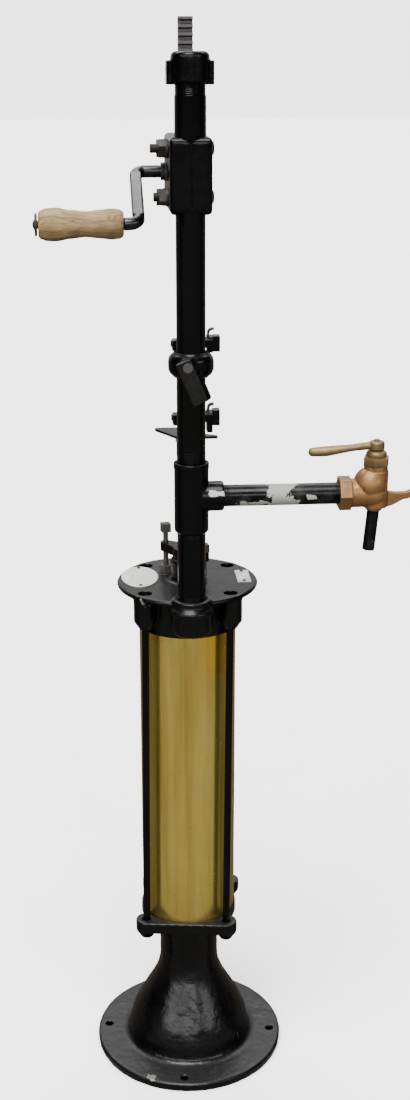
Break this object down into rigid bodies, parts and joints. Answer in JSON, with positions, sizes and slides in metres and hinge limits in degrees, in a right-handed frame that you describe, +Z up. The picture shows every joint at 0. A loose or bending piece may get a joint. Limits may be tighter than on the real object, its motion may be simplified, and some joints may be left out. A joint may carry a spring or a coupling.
{
  "type": "fluid transfer pump",
  "caption": "Hand-cranked floor pump: a crank and pinion lift a rack and piston in a brass barrel, and oil leaves by a side faucet with a can hook.",
  "frame": {"origin": "on the barrel's axis at the underside of the round foot", "axes": "+Z up along the barrel, +X towards the faucet, -Y towards the operator and the column side"},
  "size_m": [0.4488, 0.2759, 1.34],
  "materials": {
    "black_casting": "worn gloss black enamel",
    "black_pipe": "chipped black enamel",
    "dark_steel": "dark, lightly rusted",
    "rack_steel": "blackened, rubbed bright on the teeth",
    "barrel_brass": "polished, mottled",
    "bronze": "aged, dull",
    "nameplate_metal": "dull, blank",
    "wood": "weathered, bare",
    "leather": "oiled",
    "packing": "greased"
  },
  "bodies": {
    "stand": {"pedestal_base": "black_casting", "foot_valve_seat": "bronze", "base_gasket": "leather", "barrel": "barrel_brass", "head_gasket": "leather", "cylinder_head": "black_casting", "tie_rods": "black_pipe", "tie_rod_nuts": "dark_steel", "gland_packing": "packing", "gland": "black_casting", "gland_bolts": "dark_steel", "gland_lock_nut": "dark_steel", "oval_nameplate": "nameplate_metal", "square_nameplate": "nameplate_metal", "nameplate_screws": "dark_steel", "riser_pipe": "black_pipe", "tee": "black_casting", "column_plug": "dark_steel", "column_pipe": "black_pipe", "discharge_pipe": "black_pipe", "faucet_body": "bronze", "faucet_bonnet": "bronze", "faucet_packing_nut": "bronze", "spout_pipe": "black_pipe", "gear_case_left": "black_casting", "gear_case_right": "black_casting", "gear_case_bolts": "dark_steel", "gear_case_nuts": "dark_steel", "roller_pin": "dark_steel", "top_cap": "black_casting", "cap_set_screws": "dark_steel", "clamp_collar": "black_casting", "lever_pin": "dark_steel", "upper_stop_bracket": "black_casting", "lower_stop_bracket": "black_casting", "upper_stop_spring": "dark_steel", "lower_stop_spring": "dark_steel"},
    "rack": {"rack": "rack_steel", "stop_arm": "black_casting", "rod_coupling": "black_casting", "coupling_pin": "dark_steel", "piston_rod": "rack_steel", "piston_body": "bronze", "piston_cup": "leather", "piston_nut": "bronze"},
    "piston_valve": {"piston_valve": "bronze"},
    "foot_valve": {"foot_valve": "bronze"},
    "crank": {"pinion": "rack_steel", "crank_collar": "dark_steel", "crank": "rack_steel", "grip_rivet": "dark_steel", "grip_ferrule": "dark_steel"},
    "grip": {"grip": "wood"},
    "roller": {"rack_roller": "dark_steel"},
    "faucet_plug": {"faucet_plug": "bronze", "faucet_handle": "bronze", "handle_screw": "bronze"},
    "lever": {"clamp_lever": "black_casting"},
    "upper_stop": {"upper_stop": "black_casting"},
    "lower_stop": {"lower_stop": "black_casting"}
  },
  "joints": [
    {"name": "rack_slide", "type": "slide", "parent": "stand", "child": "rack", "axis": [0, 0, 1], "range_m": [0, 0.26]},
    {"name": "piston_valve_lift", "type": "slide", "parent": "rack", "child": "piston_valve", "axis": [0, 0, 1], "range_m": [0, 0.006]},
    {"name": "foot_valve_lift", "type": "slide", "parent": "stand", "child": "foot_valve", "axis": [0, 0, 1], "range_m": [0, 0.006]},
    {"name": "crank_spin", "type": "hinge", "parent": "stand", "child": "crank", "pos_m": [-0.03, -0.02685, 1.174], "axis": [1, 0, 0], "range_deg": [0, 775]},
    {"name": "grip_spin", "type": "hinge", "parent": "crank", "child": "grip", "pos_m": [-0.12, -0.13141, 1.12613], "axis": [1, 0, 0], "continuous": true},
    {"name": "roller_spin", "type": "hinge", "parent": "stand", "child": "roller", "pos_m": [0, 0.01605, 1.174], "axis": [1, 0, 0], "range_deg": [-1865, 0]},
    {"name": "faucet_turn", "type": "hinge", "parent": "stand", "child": "faucet_plug", "pos_m": [0.219, -0.0804, 0.84], "axis": [0, 0, 1], "range_deg": [0, 90]},
    {"name": "lever_swing", "type": "hinge", "parent": "stand", "child": "lever", "pos_m": [-0.006, -0.112, 0.966], "axis": [0, -1, 0], "range_deg": [0, 60]},
    {"name": "upper_stop_turn", "type": "hinge", "parent": "stand", "child": "upper_stop", "pos_m": [0, -0.05, 0.982], "axis": [1, 0, 0], "range_deg": [0, 90]},
    {"name": "lower_stop_turn", "type": "hinge", "parent": "stand", "child": "lower_stop", "pos_m": [0, -0.05, 0.8945], "axis": [1, 0, 0], "range_deg": [0, 90]}
  ],
  "couplings": [
    {"joint": "crank_spin", "follows": "rack_slide", "rad_per_m": 51.948},
    {"joint": "roller_spin", "follows": "rack_slide", "rad_per_m": -125}
  ]
}
